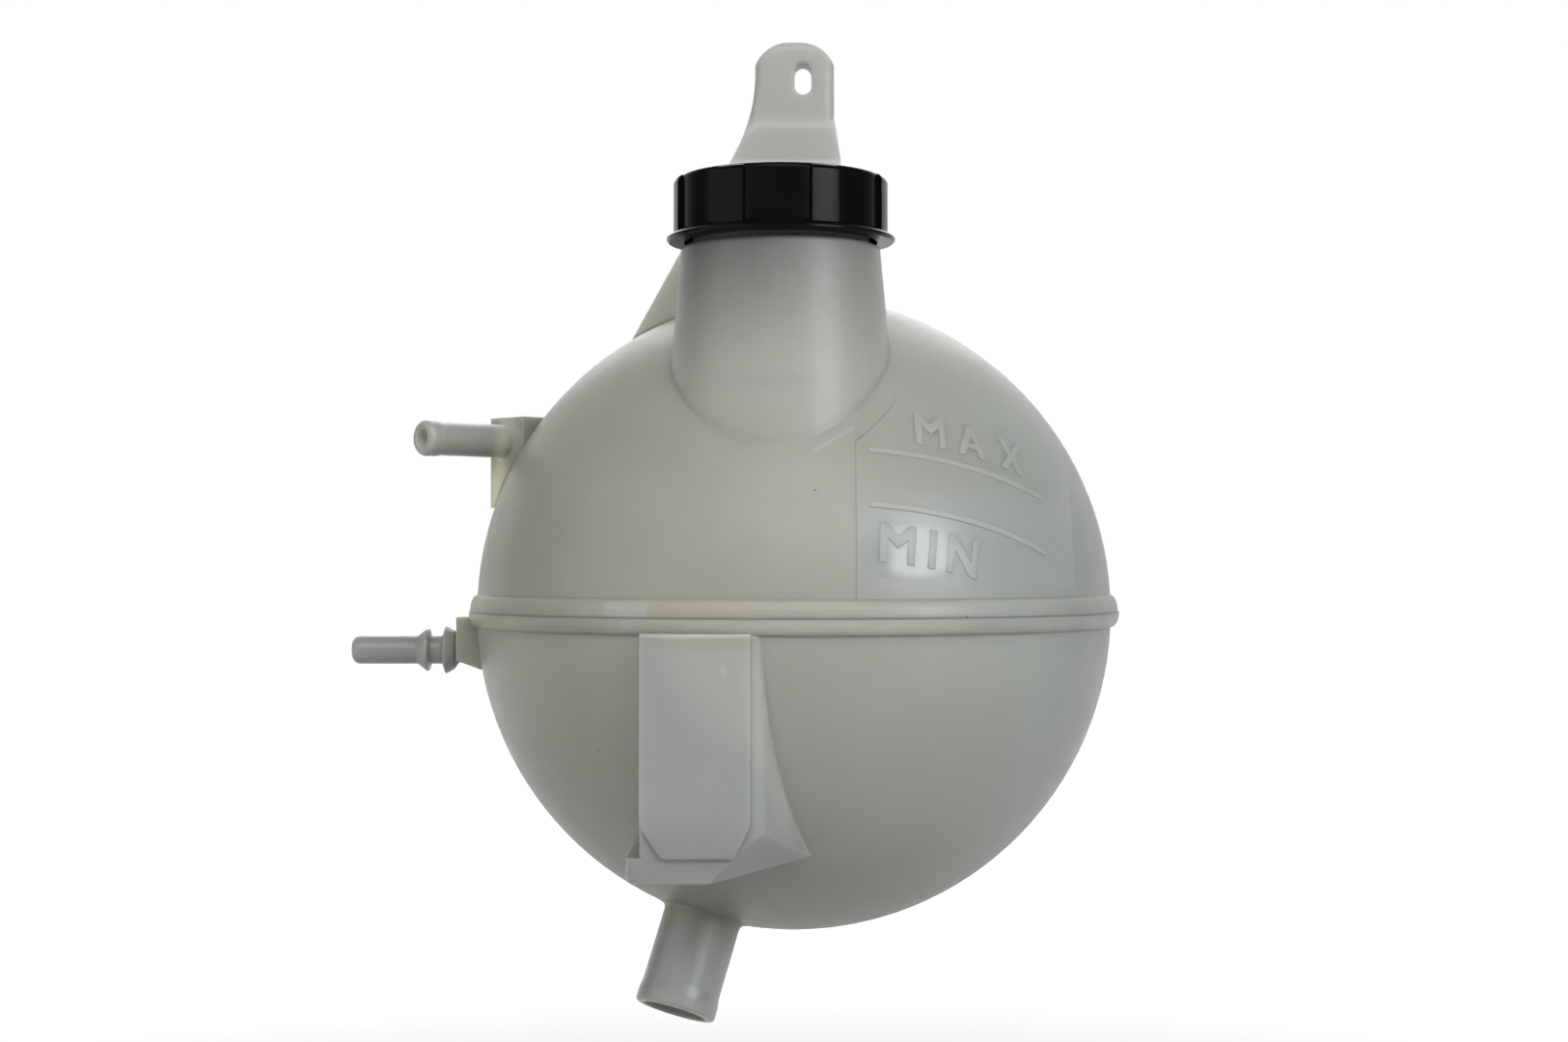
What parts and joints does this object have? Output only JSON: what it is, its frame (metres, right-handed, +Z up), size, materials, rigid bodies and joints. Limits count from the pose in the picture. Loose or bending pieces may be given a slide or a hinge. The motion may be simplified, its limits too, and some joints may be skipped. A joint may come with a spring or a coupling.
{
  "type": "coolant expansion tank",
  "caption": "Ball-shaped coolant expansion tank in welded halves, with a ribbed screw cap holding pressure and vacuum valves, hose spigots, a sensor socket and a slotted fixing lug.",
  "frame": {"origin": "centre of the fixing slot on the back face of the lug", "axes": "+Z up along the neck and the cap's axis, +Y out of the back face of the lug, +X to the right seen from the filler neck's side"},
  "size_m": [0.204, 0.1724, 0.2577],
  "materials": {
    "tank_plastic": "milky translucent polypropylene, satin",
    "cap_plastic": "black moulded plastic, half gloss",
    "housing_plastic": "black moulded plastic, matt",
    "valve_plastic": "natural moulded plastic, matt",
    "seal_rubber": "black rubber, matt",
    "spring_steel": "drawn wire, bright",
    "pin_metal": "plated brass, bright"
  },
  "bodies": {
    "tank": {"tank_upper_shell": "tank_plastic", "tank_lower_shell": "tank_plastic", "level_sensor_pin_left": "pin_metal", "level_sensor_pin_right": "pin_metal"},
    "valve_insert": {"housing_cover": "housing_plastic", "valve_housing": "housing_plastic", "neck_o_ring": "seal_rubber", "pressure_spring": "spring_steel"},
    "cap": {"cap_shell": "cap_plastic"},
    "pressure_valve": {"pressure_plate": "valve_plastic", "pressure_seal": "seal_rubber", "vacuum_spring": "spring_steel"},
    "vacuum_valve_set": {"vacuum_valve": "valve_plastic", "vacuum_seal": "seal_rubber", "vacuum_keeper": "spring_steel"}
  },
  "joints": [
    {"name": "cap_lift", "type": "slide", "parent": "tank", "child": "valve_insert", "axis": [0, 0, 1], "range_m": [0, 0.007]},
    {"name": "cap_turn", "type": "hinge", "parent": "valve_insert", "child": "cap", "pos_m": [-0.0059, -0.048, -0.042], "axis": [0, 0, 1], "range_deg": [0, 720]},
    {"name": "pressure_valve_lift", "type": "slide", "parent": "valve_insert", "child": "pressure_valve", "axis": [0, 0, 1], "range_m": [0, 0.002], "stiffness_N_per_m": 2200, "deforming": ["pressure_spring"]},
    {"name": "vacuum_valve_drop", "type": "slide", "parent": "pressure_valve", "child": "vacuum_valve_set", "axis": [0, 0, -1], "range_m": [0, 0.001], "stiffness_N_per_m": 120, "deforming": ["vacuum_spring"]}
  ],
  "couplings": [
    {"joint": "cap_lift", "follows": "cap_turn", "m_per_rad": 0.00055704}
  ]
}
